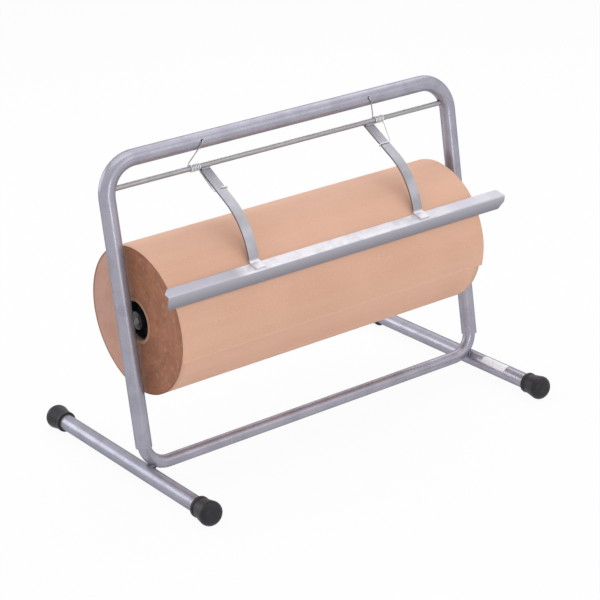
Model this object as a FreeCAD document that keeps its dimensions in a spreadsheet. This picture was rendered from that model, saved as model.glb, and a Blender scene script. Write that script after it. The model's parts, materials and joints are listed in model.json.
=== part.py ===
import FreeCAD, Part
import math
import os
import Sketcher

# A counter-top cutter for a roll of gift wrap. A hoop of steel tube stands on a smaller hoop welded to two
# foot tubes with rubber ends. The roll turns on an axle across the hoop. A rod through the hoop's upper
# corners carries two bent arms and the angle bar that the paper is torn against, and two wire springs
# press the bar onto the roll.
#
# Millimetres. X runs across the object, +Y is its back, +Z is up. The origin is on the counter, halfway
# between the feet.

Vector = FreeCAD.Vector
ALONG_X = Vector(1, 0, 0)
ALONG_Z = Vector(0, 0, 1)

# The sizes: name, value or formula, meaning. Angles are in degrees. A "rise" is measured from the counter
# up the leaning plane in which both hoops lie, and a "half" from the middle of the object or piece.
SIZES = [
    ("leg_spacing", 640, "between the centre lines of the two uprights"),
    ("leg_half", "=leg_spacing / 2", ""),
    ("leg_tube", 25, "outside of the upper hoop's tube"),
    ("leg_wall", 2, "wall of the upper hoop's tube"),
    ("leg_radius", "=leg_tube / 2", ""),
    ("leg_bore", "=leg_radius - leg_wall", ""),
    ("hoop_lean", 7.13, "how far both hoops lean back from upright"),
    ("hoop_setback", 53.15, "hoops' plane at the counter, in front of the feet's middle"),
    ("top_bar_rise", 491.6, "axis of the top bar"),
    ("top_bend", 51, "bend of the upper hoop's corners, at the tube's centre line"),
    ("slip_gap", 0.5, "between the lower hoop's tube and the legs that slip over it"),
    ("low_radius", "=leg_bore - slip_gap", "outside radius of the lower hoop's tube"),
    ("low_wall", 1.5, "wall of the lower hoop's tube"),
    ("low_bore", "=low_radius - low_wall", ""),
    ("low_bend", 38, "bend of the lower hoop's corners, at the tube's centre line"),
    ("upright_reach", 60, "lower hoop's tube inside the legs, above its bends"),
    ("foot_tube", 25, "outside of the foot tubes"),
    ("foot_wall", 1.5, "wall of the foot tubes"),
    ("foot_radius", "=foot_tube / 2", ""),
    ("foot_bore", "=foot_radius - foot_wall", ""),
    ("foot_length", 423, "foot tube with the ends hidden in the caps"),
    ("foot_half", "=foot_length / 2", ""),
    ("cap_radius", 19, "widest part of a rubber cap"),
    ("cap_flat", 0.4, "how far the rubber is flattened where it stands"),
    ("foot_height", "=cap_radius - cap_flat", "axis of the foot tubes"),
    ("weld_gap", 0.3, "between the lower hoop and a foot tube, bridged by the weld"),
    ("joint_reach", "=foot_radius + low_radius + weld_gap + low_bend", "foot axis to bend centre"),
    ("joint_rise", "=sqrt(joint_reach^2 - low_bend^2)", "the upward part of that"),
    ("shoulder_rise", "=(foot_height + joint_rise) / cos(hoop_lean)", "where the lower bends end"),
    ("low_bar_rise", "=shoulder_rise - low_bend", "axis of the lower cross bar"),
    ("low_top_rise", "=shoulder_rise + upright_reach", "top of the lower hoop's uprights"),
    ("leg_end_rise", "=shoulder_rise - 0.8 * sqrt(2 * low_bend * slip_gap)", "legs rest on the bends"),
    ("bend_across", "=leg_half - low_bend", "centre of a lower bend"),
    ("bend_depth", "=shoulder_rise * sin(hoop_lean) - hoop_setback", ""),
    ("bend_height", "=shoulder_rise * cos(hoop_lean)", ""),
    ("weld_long", 9, "half length of a foot weld, along the foot"),
    ("weld_wide", 6.5, "half width of a foot weld"),
    ("weld_share", "=(foot_radius + weld_gap / 2) / joint_reach", ""),
    ("weld_across", "=leg_half - low_bend * weld_share", ""),
    ("weld_height", "=foot_height + joint_rise * weld_share", ""),
    ("weld_depth", "=weld_height * tan(hoop_lean) - hoop_setback", ""),
    ("cap_length", 40, "rubber cap from mouth to tip"),
    ("cap_hold", 25, "foot tube inside a cap"),
    ("cap_fit", 0.05, "between a cap's bore and the foot tube"),
    ("cap_bore", "=foot_radius + cap_fit", ""),
    ("cap_bead", 16.5, "radius of the bead at a cap's mouth"),
    ("cap_bead_width", 5, "width of that bead"),
    ("cap_waist", 15.2, "radius of a cap just behind the bead"),
    ("cap_round", 11, "rounding of a cap's tip"),
    ("bead_round", 1.8, "rounding of the bead"),
    ("cap_mouth", "=foot_half - cap_hold", "places along a cap, from the feet's middle"),
    ("cap_bead_end", "=cap_mouth + cap_bead_width", ""),
    ("cap_waist_start", "=cap_bead_end + 1.5", ""),
    ("cap_tip", "=cap_mouth + cap_length", ""),
    ("cap_full_start", "=cap_tip - cap_round - 1", ""),
    ("rod_diameter", 8, "rod that carries the cutter"),
    ("rod_radius", "=rod_diameter / 2", ""),
    ("rod_drop", 38.1, "axis of the rod below the top bar's"),
    ("rod_rise", "=top_bar_rise - rod_drop", ""),
    ("rod_reach", 6.5, "rod end inside a leg"),
    ("rod_length", "=leg_spacing - leg_tube + 2 * rod_reach", ""),
    ("rod_chamfer", 1, "ends of the rod"),
    ("running_gap", 0.08, "between a shaft and the hole it turns in"),
    ("rod_slack", 0.7, "further room above the rod in its holes"),
    ("rod_hole", "=rod_radius + running_gap + rod_slack", "radius of the rod's holes"),
    ("rod_hole_rise", "=rod_rise + rod_slack", ""),
    ("rod_hole_reach", "=leg_spacing - leg_tube / 4", "both holes, each as far as inside its leg"),
    ("rod_depth", "=rod_rise * sin(hoop_lean) - hoop_setback", ""),
    ("rod_height", "=rod_rise * cos(hoop_lean)", ""),
    ("roll_spare", 45, "room that the roll leaves between the legs"),
    ("roll_length", "=leg_spacing - leg_tube - roll_spare", ""),
    ("roll_half", "=roll_length / 2", ""),
    ("roll_offset", 18, "roll's middle, left of the object's middle"),
    ("roll_rise", 254.2, "axis of the roll"),
    ("axle_forward", 2.3, "axis of the roll, in front of the hoops' plane"),
    ("roll_depth", "=roll_rise * sin(hoop_lean) - axle_forward * cos(hoop_lean) - hoop_setback", ""),
    ("roll_height", "=roll_rise * cos(hoop_lean) + axle_forward * sin(hoop_lean)", ""),
    ("roll_radius", 114, "full roll with its outer sheet"),
    ("sheet_thickness", 0.3, "outer sheet"),
    ("sheet_slack", 0.3, "between the outer sheet and the turn below it"),
    ("sheet_overhang", 5, "outer sheet past the roll's right end"),
    ("sheet_end", "=roll_half + sheet_overhang", ""),
    ("sheet_wrap", 310, "how far round the roll the outer sheet goes"),
    ("sheet_edge", 17, "free edge of the outer sheet, below level at the front"),
    ("sheet_start", "=540 + sheet_edge - sheet_wrap", "its hidden edge, turned from the back"),
    ("sheet_radius", "=roll_radius - sheet_thickness", "inside of the outer sheet"),
    ("paper_radius", "=sheet_radius - sheet_slack", ""),
    ("core_inside", 62, "inside of the cardboard core"),
    ("core_wall", 5, "cardboard core"),
    ("core_bore", "=core_inside / 2", ""),
    ("core_radius", "=core_bore + core_wall", ""),
    ("axle_diameter", 12, "axle of the roll"),
    ("axle_radius", "=axle_diameter / 2", ""),
    ("axle_reach", 10, "axle end inside a leg"),
    ("axle_length", "=leg_spacing - leg_tube + 2 * axle_reach", ""),
    ("axle_chamfer", 1.2, "ends of the axle"),
    ("slot_gap", 0.15, "between the axle and the slots that hold it"),
    ("slot_radius", "=axle_radius + slot_gap", ""),
    ("slot_length", 30, "slot from the axle to beyond the leg's back"),
    ("slot_climb", 30, "how steeply the slot climbs to the back"),
    ("hub_fit", 0.1, "between a hub and the core"),
    ("hub_radius", "=core_bore - hub_fit", ""),
    ("hub_wall", 2.5, "outer ring of a hub"),
    ("hub_ring", "=hub_radius - hub_wall", ""),
    ("hub_boss", 14, "radius of a hub's boss"),
    ("hub_bore", "=axle_radius + running_gap", ""),
    ("hub_boss_place", 0.5, "places along a hub, from the end of the core: outer end of the boss"),
    ("hub_recess", 7, "outer end of the ring"),
    ("hub_web_place", 20, "outer face of the disc"),
    ("hub_web", 3, "thickness of the disc"),
    ("hub_web_end", "=hub_web_place + hub_web", ""),
    ("hub_depth", 39, "inner end of ring and boss"),
    ("left_roll_end", "=-roll_offset - roll_half", ""),
    ("right_roll_end", "=roll_half - roll_offset", ""),
    ("cutter_shift", 5.5, "middle of the cutter, right of the object's middle"),
    ("bar_spare", 6, "angle bar, shorter than the leg spacing"),
    ("bar_length", "=leg_spacing - bar_spare", ""),
    ("bar_leg", 21.5, "each leg of the angle bar"),
    ("bar_thick", 1.2, "sheet of the angle bar"),
    ("bar_fold", 1, "inside radius of the bar's fold"),
    ("bar_fold_outside", "=bar_fold + bar_thick", ""),
    ("bar_snip", 11, "corners cut off: the top leg's at the left end, the front leg's at the right"),
    ("bar_corner", 3, "rounding of the legs' other corners"),
    ("bar_gap", 0.3, "between the bar's two edges and the paper"),
    ("bar_angle", 33, "bar's fold, above level as seen from the roll's axis"),
    ("facet_tilt", "=45 - bar_angle", "bar's top leg, forwards and down"),
    ("bar_chord", "=(bar_leg - bar_thick) / sqrt(2)", ""),
    ("bar_deep", "=(bar_leg + bar_thick) / sqrt(2)", ""),
    ("fold_reach", "=sqrt((roll_radius + bar_gap)^2 - bar_chord^2) + bar_deep", "roll's axis to fold"),
    ("fold_depth", "=roll_depth - fold_reach * cos(bar_angle)", ""),
    ("fold_height", "=roll_height + fold_reach * sin(bar_angle)", ""),
    ("arm_spacing", 310, "between the middles of the two arms"),
    ("arm_width", 17, "flat strip of the arms"),
    ("arm_thick", 3, "flat strip of the arms"),
    ("arm_half_width", "=arm_width / 2", ""),
    ("arm_back_reach", "=rod_depth - fold_depth", "from the bar's fold to the rod"),
    ("arm_up_reach", "=rod_height - fold_height", ""),
    ("arm_reach", "=sqrt(arm_back_reach^2 + arm_up_reach^2)", ""),
    ("arm_slope", "=atan(arm_up_reach / arm_back_reach) / 1 deg", "that line, below level"),
    ("arm_lift", 13.62, "arms above that line where they leave the rod"),
    ("arm_dip", "=arm_slope - arm_lift", ""),
    ("arm_tilt", "=90 + arm_dip", ""),
    ("arm_turn", 47.5, "how much further the arms bend down"),
    ("arm_bend", "=0.5653 * arm_reach", "radius of that bend"),
    ("arm_tail", 3.5, "arm behind the rod's axis"),
    ("arm_middle", "=rod_radius + arm_thick / 2", "middle of the strip below the rod's axis"),
    ("arm_back", "=rod_radius + arm_thick", ""),
    ("flange_flat", 15, "flat end of an arm on the bar"),
    ("flange_bend", 5, "bend above that end"),
    ("flange_inset", 3, "arm's end from the bar's fold"),
    ("shin_angle", "=90 + arm_turn", ""),
    ("flange_angle", "=90 - arm_dip + facet_tilt", ""),
    ("flange_depth", "=fold_depth + flange_inset * cos(facet_tilt) - arm_thick / 2 * sin(facet_tilt)", ""),
    ("flange_height", "=fold_height + flange_inset * sin(facet_tilt) + arm_thick / 2 * cos(facet_tilt)", ""),
    ("flange_back", "=flange_depth - rod_depth", "arm's end from the rod's axis"),
    ("flange_up", "=flange_height - rod_height", ""),
    ("flange_along", "=-flange_back * cos(arm_dip) - flange_up * sin(arm_dip)", ""),
    ("flange_below", "=flange_back * sin(arm_dip) - flange_up * cos(arm_dip)", ""),
    ("left_arm_place", "=cutter_shift - arm_spacing / 2", ""),
    ("right_arm_place", "=cutter_shift + arm_spacing / 2", ""),
    ("bead_leg", 1, "weld between the rod and an arm"),
    ("bead_radius", "=1.6 * bead_leg", ""),
    ("bead_along", "=2 * sqrt(rod_radius * bead_leg)", ""),
    ("bead_below", "=rod_radius - bead_leg", ""),
    ("bead_length", "=arm_width - 2", ""),
    ("spring_wire", 1.8, "wire of the springs"),
    ("spring_gap", 0.25, "between the rod and a coil"),
    ("spring_turns", 5, "whole turns of a coil"),
    ("spring_pitch", 2.8, "from one turn to the next"),
    ("spring_radius", "=rod_radius + spring_gap + spring_wire / 2", "coil, at the wire's middle"),
    ("spring_side_gap", 0.6, "between a spring and the arm beside it"),
    ("spring_bend", 2.8, "tight bends of the springs' wire"),
    ("spring_wide_bend", 6, "bend of the wire where it leaves the coil"),
    ("hook_along", "=0.253 * arm_reach", "springs' hooks from the rod, along the arms"),
    ("hook_gap", 0.4, "between a hook and the arm's faces"),
    ("spring_hole", 2.3, "radius of the springs' holes in the top bar"),
    ("spring_hole_lift", 1.3, "those holes above the middle of the tube's front"),
    ("spring_hole_rise", "=top_bar_rise + spring_hole_lift", ""),
    ("spring_hole_out", 1, "those holes, further apart than the arms on each side"),
    ("spring_hole_half", "=arm_spacing / 2 + spring_hole_out", ""),
    ("spring_hole_depth", "=leg_radius + 1", ""),
    ("spring_clear", 4.5, "the wire's corner in front of the top bar"),
]

doc = FreeCAD.newDocument("gift_wrap_paper_cutter")
sheet = doc.addObject("Spreadsheet::Sheet", "sizes")
for row, (name, amount, meaning) in enumerate(SIZES, start=1):
    sheet.set("A%d" % row, name)
    sheet.set("B%d" % row, str(amount))
    sheet.set("C%d" % row, meaning)
    sheet.setAlias("B%d" % row, name)
doc.recompute()
pieces = []


def size(name):
    """A size from the sheet, turned round by a leading minus sign; None is zero."""
    if name is None:
        return 0.0
    if name.startswith("-"):
        return -size(name[1:])
    return float(sheet.get(name))


def cell(name):
    """The same size as an expression."""
    if name.startswith("-"):
        return "-sizes." + name[1:]
    return "sizes." + name


def new_body(label):
    body = doc.addObject("PartDesign::Body", label)
    body.Label = label
    pieces.append(body)
    return body


def place(feature, across=None, depth=None, height=None, axis=None, angle=None):
    """Sets where a feature stands, each coordinate and the turn about an axis by name from the sheet."""
    if axis:
        feature.Placement = FreeCAD.Placement(Vector(0, 0, 0), FreeCAD.Rotation(axis, size(angle)))
        feature.setExpression("Placement.Rotation.Angle", cell(angle))
    for direction, name in (("x", across), ("y", depth), ("z", height)):
        if name:
            feature.setExpression("Placement.Base." + direction, cell(name))


def turn_round(feature):
    """Half a turn about the upright line through the feature's origin."""
    feature.Placement = FreeCAD.Placement(Vector(0, 0, 0), FreeCAD.Rotation(ALONG_Z, 180))


def origin_feature(body, role):
    return next(feature for feature in body.Origin.OriginFeatures if feature.Role == role)


def new_sketch(body, name, role, offset=None):
    """A sketch on an origin plane of its own body, moved along the plane's normal by a size."""
    sketch = body.newObject("Sketcher::SketchObject", name)
    sketch.AttachmentSupport = [(origin_feature(body, role), "")]
    sketch.MapMode = "FlatFace"
    if offset:
        sketch.setExpression("AttachmentOffset.Base.z", cell(offset))
    return sketch


def dimension(sketch, kind, places, name):
    """One dimension of a sketch, bound to a size."""
    value = math.radians(size(name)) if kind == "Angle" else size(name)
    index = sketch.addConstraint(Sketcher.Constraint(kind, *places, value))
    unit = " * 1 deg" if kind == "Angle" else ""
    sketch.setExpression("Constraints[%d]" % index, cell(name) + unit)


def pin(sketch, edge, end, across, up):
    """Holds a point of a sketch at two sizes; None keeps it on that axis."""
    for name, kind, axis in ((across, "DistanceX", -2), (up, "DistanceY", -1)):
        if name is None:
            sketch.addConstraint(Sketcher.Constraint("PointOnObject", edge, end, axis))
        else:
            dimension(sketch, kind, (edge, end), name)


def join(sketch, kind, first, second, spot):
    """Joins the ends of two edges that lie at a spot, as a corner or tangent to each other."""
    places = []
    for edge in (first, second):
        nearest = min((1, 2), key=lambda end: sketch.getPoint(edge, end).distanceToPoint(spot))
        places.extend((edge, nearest))
    sketch.addConstraint(Sketcher.Constraint(kind, *places))


def add_circle(sketch, across, up, radius):
    circle = sketch.addGeometry(Part.Circle(Vector(size(across), size(up), 0), ALONG_Z, size(radius)))
    pin(sketch, circle, 3, across, up)
    dimension(sketch, "Radius", (circle,), radius)


def add_outline(sketch, corners):
    """A closed outline of straight edges; each corner is two sizes, None for a place on the axis."""
    spots = [Vector(size(across), size(up), 0) for across, up in corners]
    for start, end in zip(spots, spots[1:] + spots[:1]):
        sketch.addGeometry(Part.LineSegment(start, end))
    for index, (across, up) in enumerate(corners):
        join(sketch, "Coincident", (index - 1) % len(corners), index, spots[index])
        pin(sketch, index, 1, across, up)


def bend_points(before, corner, after, radius):
    """Start, middle and end of the arc of this radius that rounds the corner between two runs."""
    back = (before - corner).normalize()
    ahead = (after - corner).normalize()
    half_turn = (math.pi - back.getAngle(ahead)) / 2
    reach = radius * math.tan(half_turn)
    inward = (back + ahead).normalize()
    depth = radius / math.cos(half_turn) - radius
    return corner + back * reach, corner + inward * depth, corner + ahead * reach


def rounded_run(corners, bends):
    """Straight runs through the corners, joined by tangent arcs, as curves in order."""
    curves = []
    at = corners[0]
    for index, radius in enumerate(bends, start=1):
        start, middle, end = bend_points(corners[index - 1], corners[index], corners[index + 1], radius)
        if at.distanceToPoint(start) > 0.001:
            curves.append(Part.LineSegment(at, start))
        curves.append(Part.Arc(start, middle, end))
        at = end
    if at.distanceToPoint(corners[-1]) > 0.001:
        curves.append(Part.LineSegment(at, corners[-1]))
    return curves


def add_path(sketch, corners, bends):
    """Draws a run, an arc, a run, an arc and a run, each tangent to the next."""
    curves = rounded_run(corners, bends)
    sketch.addGeometry(curves)
    for first in range(len(curves) - 1):
        curve = curves[first]
        join(sketch, "Tangent", first, first + 1, curve.value(curve.LastParameter))


def sweep(body, profile, path):
    """Carries the profile along the five edges of the path."""
    feature = body.newObject("PartDesign::AdditivePipe", body.Label + "_sweep")
    feature.Profile = profile
    feature.Spine = (path, ["Edge%d" % number for number in range(1, 6)])
    body.Tip = feature


def pad_both_ways(body, profile, length):
    feature = body.newObject("PartDesign::Pad", body.Label + "_pad")
    feature.Profile = profile
    feature.SideType = "Symmetric"
    feature.setExpression("Length", cell(length))
    body.Tip = feature
    return feature


def pocket(body, profile, length, side="One side", reverse=False):
    """Cuts the profile out, and stops the work if that removes nothing."""
    doc.recompute()
    before = body.Shape.Volume
    feature = body.newObject("PartDesign::Pocket", profile.Name + "_pocket")
    feature.Profile = profile
    feature.SideType = side
    feature.Reversed = reverse
    feature.setExpression("Length", cell(length))
    body.Tip = feature
    doc.recompute()
    if body.Shape.Volume > before - 1:
        raise RuntimeError(feature.Name + " removes nothing")


def revolve(body, profile, axis_role, angle=None):
    feature = body.newObject("PartDesign::Revolution", body.Label + "_turned")
    feature.Profile = profile
    feature.ReferenceAxis = (origin_feature(body, axis_role), [""])
    if angle:
        feature.setExpression("Angle", cell(angle))
    body.Tip = feature
    return feature


def finish_edges(body, kind, base, amount, chosen):
    """Fillets or chamfers the edges of a feature whose middle point the test picks."""
    doc.recompute()
    names = []
    for number, edge in enumerate(base.Shape.Edges, start=1):
        if chosen(edge.valueAt((edge.FirstParameter + edge.LastParameter) / 2)):
            names.append("Edge%d" % number)
    feature = body.newObject("PartDesign::" + kind, body.Label + "_" + kind.lower())
    feature.Base = (base, names)
    feature.setExpression("Radius" if kind == "Fillet" else "Size", cell(amount))
    body.Tip = feature
    return feature


def make_hoop(label, end_rise, bar_rise, bend, radius, bore):
    """A bent tube in the leaning plane: two uprights and a cross bar with a bend at each corner."""
    body = new_body(label)
    path = new_sketch(body, label + "_path", "XZ_Plane")
    half = size("leg_half")
    ends = size(end_rise)
    bar = size(bar_rise)
    corners = [Vector(-half, ends), Vector(-half, bar), Vector(half, bar), Vector(half, ends)]
    add_path(path, corners, [size(bend), size(bend)])
    pin(path, 0, 1, "-leg_half", end_rise)
    pin(path, 4, 2, "leg_half", end_rise)
    for upright in (0, 4):
        path.addConstraint(Sketcher.Constraint("Vertical", upright))
    path.addConstraint(Sketcher.Constraint("Horizontal", 2))
    dimension(path, "DistanceY", (2, 1), bar_rise)
    for edge in (1, 3):
        dimension(path, "Radius", (edge,), bend)
    ring = new_sketch(body, label + "_ring", "XY_Plane", end_rise)
    add_circle(ring, "-leg_half", None, radius)
    add_circle(ring, "-leg_half", None, bore)
    sweep(body, ring, path)
    place(body, depth="-hoop_setback", axis=-ALONG_X, angle="hoop_lean")
    return body


def add_axle_slot(body):
    """The slots in the legs that the axle drops into: round at the seat, open at the back."""
    slot = new_sketch(body, "axle_slot", "YZ_Plane")
    climb = math.radians(size("slot_climb"))
    outwards = Vector(math.cos(climb), math.sin(climb), 0)
    side = Vector(math.sin(climb), -math.cos(climb), 0) * size("slot_radius")
    seat = Vector(-size("axle_forward"), size("roll_rise"), 0)
    mouth = seat + outwards * size("slot_length")
    low, end, high, bottom = slot.addGeometry([
        Part.LineSegment(seat + side, mouth + side),
        Part.LineSegment(mouth + side, mouth - side),
        Part.LineSegment(mouth - side, seat - side),
        Part.Arc(seat - side, seat - outwards * size("slot_radius"), seat + side),
    ])
    join(slot, "Coincident", low, end, mouth + side)
    join(slot, "Coincident", end, high, mouth - side)
    join(slot, "Tangent", high, bottom, seat - side)
    join(slot, "Tangent", bottom, low, seat + side)
    slot.addConstraint(Sketcher.Constraint("Parallel", low, high))
    slot.addConstraint(Sketcher.Constraint("Perpendicular", low, end))
    pin(slot, bottom, 3, "-axle_forward", "roll_rise")
    dimension(slot, "Radius", (bottom,), "slot_radius")
    dimension(slot, "Distance", (low,), "slot_length")
    dimension(slot, "Angle", (low,), "slot_climb")
    pocket(body, slot, "leg_spacing", side="Symmetric")


def make_upper_hoop():
    """Legs and top bar, with holes for the rod and the springs and open slots for the axle."""
    body = make_hoop("upper_hoop", "leg_end_rise", "top_bar_rise", "top_bend", "leg_radius", "leg_bore")
    rod_hole = new_sketch(body, "rod_hole", "YZ_Plane")
    add_circle(rod_hole, None, "rod_hole_rise", "rod_hole")
    pocket(body, rod_hole, "rod_hole_reach", side="Symmetric")
    add_axle_slot(body)
    spring_holes = new_sketch(body, "spring_holes", "XZ_Plane")
    for side in ("-", ""):
        add_circle(spring_holes, side + "spring_hole_half", "spring_hole_rise", "spring_hole")
    pocket(body, spring_holes, "spring_hole_depth", reverse=True)


def make_foot_tube(label, across):
    body = new_body(label)
    ring = new_sketch(body, label + "_ring", "XZ_Plane")
    add_circle(ring, None, None, "foot_radius")
    add_circle(ring, None, None, "foot_bore")
    pad_both_ways(body, ring, "foot_length")
    place(body, across=across, height="foot_height")


def make_foot_cap(label, across, in_front):
    """A rubber cap: a bead at the mouth, a waist, a flare and a round tip, flattened where it stands."""
    body = new_body(label)
    outline = new_sketch(body, label + "_outline", "YZ_Plane")
    add_outline(outline, [
        ("cap_mouth", "cap_bore"),
        ("cap_mouth", "cap_bead"),
        ("cap_bead_end", "cap_bead"),
        ("cap_waist_start", "cap_waist"),
        ("cap_full_start", "cap_radius"),
        ("cap_tip", "cap_radius"),
        ("cap_tip", None),
        ("foot_half", None),
        ("foot_half", "cap_bore"),
    ])
    turned = revolve(body, outline, "Y_Axis")
    reach = size("cap_radius") - 0.01
    tip = size("cap_tip") - 0.01
    rounded = finish_edges(body, "Fillet", turned, "cap_round",
                           lambda at: at.y > tip and math.hypot(at.x, at.z) > reach)
    bead_reach = size("cap_bead") - 0.01
    bead_end = size("cap_bead_end") + 0.01
    finish_edges(body, "Fillet", rounded, "bead_round",
                 lambda at: at.y < bead_end and math.hypot(at.x, at.z) > bead_reach)
    flat = new_sketch(body, label + "_flat", "XY_Plane", "-foot_height")
    add_outline(flat, [
        ("-cap_radius", "cap_mouth"),
        ("cap_radius", "cap_mouth"),
        ("cap_radius", "cap_tip"),
        ("-cap_radius", "cap_tip"),
    ])
    pocket(body, flat, "cap_radius")
    if in_front:
        turn_round(body)
    place(body, across=across, height="foot_height")


def make_foot_weld(label, side):
    """The bead that joins a foot tube to the lower hoop's bend: a lump cut to both tubes."""
    lump = doc.addObject("Part::Ellipsoid", label + "_lump")
    for radius, name in (("Radius1", "weld_wide"), ("Radius2", "weld_wide"), ("Radius3", "weld_long")):
        lump.setExpression(radius, cell(name))
    place(lump, across=side + "weld_across", depth="weld_depth", height="weld_height")
    foot = doc.addObject("Part::Cylinder", label + "_foot")
    foot.setExpression("Radius", "sizes.foot_radius")
    foot.setExpression("Height", "sizes.foot_length")
    foot.Placement = FreeCAD.Placement(Vector(0, 0, 0), FreeCAD.Rotation(ALONG_X, 90))
    place(foot, across=side + "leg_half", depth="foot_half", height="foot_height")
    bend = doc.addObject("Part::Torus", label + "_bend")
    bend.setExpression("Radius1", "sizes.low_bend")
    bend.setExpression("Radius2", "sizes.low_radius")
    bend.Placement = FreeCAD.Placement(Vector(0, 0, 0), FreeCAD.Rotation(ALONG_X, 90))
    bend.setExpression("Placement.Rotation.Angle", "90 - sizes.hoop_lean")
    place(bend, across=side + "bend_across", depth="bend_depth", height="bend_height")
    cut_in_turn(label, lump, (foot, bend))


def cut_in_turn(label, solid, tools):
    """Cuts each tool from the solid; the last cut carries the label."""
    for number, tool in enumerate(tools, start=1):
        cut = doc.addObject("Part::Cut", "%s_cut_%d" % (label, number))
        cut.Base = solid
        cut.Tool = tool
        solid = cut
    solid.Label = label
    pieces.append(solid)


def make_rod(label, radius, length, chamfer, depth, height):
    """A round bar across the object with chamfered ends."""
    body = new_body(label)
    circle = new_sketch(body, label + "_circle", "YZ_Plane")
    add_circle(circle, None, None, radius)
    bar = pad_both_ways(body, circle, length)
    end = size(length) / 2 - 0.01
    finish_edges(body, "Chamfer", bar, chamfer, lambda at: abs(at.x) > end)
    place(body, depth=depth, height=height)


def make_roll_tube(label, radius, bore):
    """A tube about the roll's axis."""
    body = new_body(label)
    outline = new_sketch(body, label + "_outline", "XY_Plane")
    add_outline(outline, [
        ("-roll_half", bore),
        ("roll_half", bore),
        ("roll_half", radius),
        ("-roll_half", radius),
    ])
    revolve(body, outline, "X_Axis")
    place(body, across="-roll_offset", depth="roll_depth", height="roll_height")


def make_outer_sheet():
    """The last sheet round the roll: its free edge lies at the lower front."""
    body = new_body("outer_sheet")
    outline = new_sketch(body, "outer_sheet_outline", "XY_Plane")
    add_outline(outline, [
        ("-roll_half", "sheet_radius"),
        ("sheet_end", "sheet_radius"),
        ("sheet_end", "roll_radius"),
        ("-roll_half", "roll_radius"),
    ])
    revolve(body, outline, "X_Axis", "sheet_wrap")
    place(body, axis=ALONG_X, angle="sheet_start")
    place(body, across="-roll_offset", depth="roll_depth", height="roll_height")


def make_core_hub(label, across, inner_end_left):
    """A moulded plug in an end of the core: a ring, a set-back disc and a boss with the axle's bore."""
    body = new_body(label)
    outline = new_sketch(body, label + "_outline", "XY_Plane")
    add_outline(outline, [
        ("hub_boss_place", "hub_bore"),
        ("hub_boss_place", "hub_boss"),
        ("hub_web_place", "hub_boss"),
        ("hub_web_place", "hub_ring"),
        ("hub_recess", "hub_ring"),
        ("hub_recess", "hub_radius"),
        ("hub_depth", "hub_radius"),
        ("hub_depth", "hub_ring"),
        ("hub_web_end", "hub_ring"),
        ("hub_web_end", "hub_boss"),
        ("hub_depth", "hub_boss"),
        ("hub_depth", "hub_bore"),
    ])
    revolve(body, outline, "X_Axis")
    if inner_end_left:
        turn_round(body)
    place(body, across=across, depth="roll_depth", height="roll_height")


def make_cutter_bar():
    """An angle of folded sheet whose two free edges lie on the paper."""
    body = new_body("cutter_bar")
    outline = new_sketch(body, "cutter_bar_outline", "YZ_Plane")
    add_outline(outline, [
        (None, None),
        ("bar_leg", None),
        ("bar_leg", "-bar_thick"),
        ("bar_thick", "-bar_thick"),
        ("bar_thick", "-bar_leg"),
        (None, "-bar_leg"),
    ])
    folded = pad_both_ways(body, outline, "bar_length")
    thick = size("bar_thick")
    outside = finish_edges(body, "Fillet", folded, "bar_fold_outside",
                           lambda at: math.hypot(at.y, at.z) < 0.01)
    inside = finish_edges(body, "Fillet", outside, "bar_fold",
                          lambda at: math.hypot(at.y - thick, at.z + thick) < 0.01)
    end = size("bar_length") / 2 - 0.01
    edge = size("bar_leg") - 0.01
    snipped = finish_edges(body, "Chamfer", inside, "bar_snip",
                           lambda at: (at.x < -end and at.y > edge) or (at.x > end and at.z < -edge))
    finish_edges(body, "Fillet", snipped, "bar_corner",
                 lambda at: (at.x < -end and at.z < -edge) or (at.x > end and at.y > edge))
    place(body, axis=ALONG_X, angle="facet_tilt")
    place(body, across="cutter_shift", depth="fold_depth", height="fold_height")


def make_arm(label, across):
    """A flat strip, welded under the rod: straight, then bent down to the bar, with a flat end on it."""
    body = new_body(label)
    path = new_sketch(body, label + "_path", "YZ_Plane")
    shin = math.radians(size("shin_angle"))
    flange = math.radians(size("flange_angle"))
    middle = size("arm_middle")
    end = Vector(-size("flange_below"), size("flange_along"), 0)
    straight = size("flange_flat") + size("flange_bend") * math.tan((shin - flange) / 2)
    heel = end - Vector(math.cos(flange), math.sin(flange), 0) * straight
    knee = heel - Vector(math.cos(shin), math.sin(shin), 0) * ((heel.x + middle) / math.cos(shin))
    start = Vector(-middle, -size("arm_tail"), 0)
    add_path(path, [start, knee, heel, end], [size("arm_bend"), size("flange_bend")])
    pin(path, 0, 1, "-arm_middle", "-arm_tail")
    pin(path, 4, 2, "-flange_below", "flange_along")
    path.addConstraint(Sketcher.Constraint("Vertical", 0))
    dimension(path, "Radius", (1,), "arm_bend")
    dimension(path, "Radius", (3,), "flange_bend")
    dimension(path, "Angle", (2,), "shin_angle")
    dimension(path, "Angle", (4,), "flange_angle")
    dimension(path, "Distance", (4,), "flange_flat")
    strip = new_sketch(body, label + "_strip", "XY_Plane", "-arm_tail")
    add_outline(strip, [
        ("-arm_half_width", "-rod_radius"),
        ("-arm_half_width", "-arm_back"),
        ("arm_half_width", "-arm_back"),
        ("arm_half_width", "-rod_radius"),
    ])
    sweep(body, strip, path)
    place(body, axis=ALONG_X, angle="arm_tilt")
    place(body, across=across, depth="rod_depth", height="rod_height")


def arm_spot(along, above):
    """A place beside an arm: along it from the rod's axis, and above that axis square to it."""
    dip = math.radians(size("arm_dip"))
    back = -along * math.cos(dip) - above * math.sin(dip)
    up = above * math.cos(dip) - along * math.sin(dip)
    return Vector(0, size("rod_depth") + back, size("rod_height") + up)


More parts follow.
